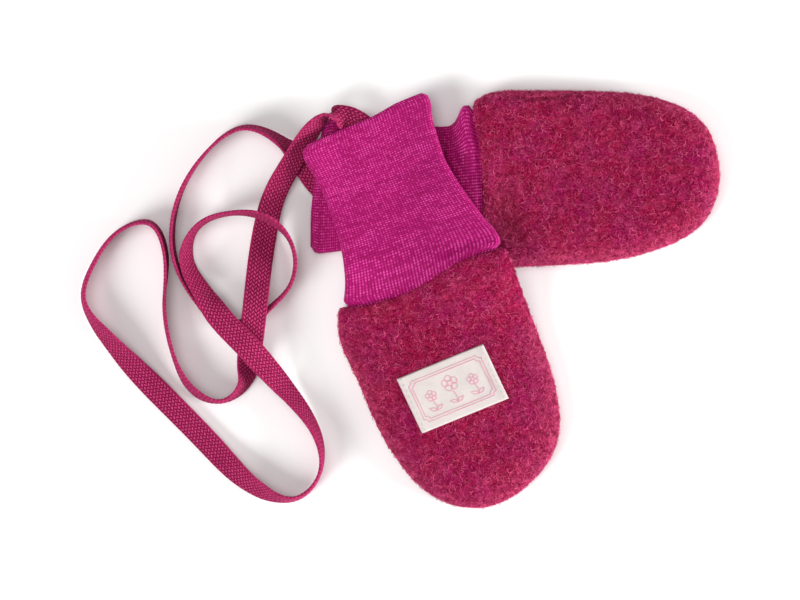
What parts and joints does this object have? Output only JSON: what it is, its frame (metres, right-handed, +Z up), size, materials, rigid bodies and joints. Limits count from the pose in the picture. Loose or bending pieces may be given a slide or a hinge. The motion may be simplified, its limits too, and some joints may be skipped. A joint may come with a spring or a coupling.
{
  "type": "pair of baby mittens",
  "caption": "Pair of thumbless baby mittens in wool fleece with long ribbed cuffs and a sewn label, joined by a flat tape, laid flat one across the other.",
  "frame": {"origin": "middle of the base of the two mittens' bounding box, on the surface they lie on", "axes": "+Z up off the surface; +X along the back mitten towards its finger end; +Y towards the front mitten's cuff side"},
  "size_m": [0.275, 0.1804, 0.0229],
  "materials": {
    "fleece": "boiled wool fleece with a short curled pile, mottled raspberry pink",
    "rib": "fine ribbed wool and silk jersey, magenta, slight sheen",
    "label": "woven satin label, cream with pink threads",
    "tape": "flat braided tape, matt raspberry pink"
  },
  "bodies": {
    "root": {"back_bottom_panel": "fleece", "back_top_panel": "fleece", "back_cuff": "rib", "front_bottom_panel": "fleece", "front_top_panel": "fleece", "front_cuff": "rib", "label": "label", "tape": "tape"}
  },
  "joints": []
}
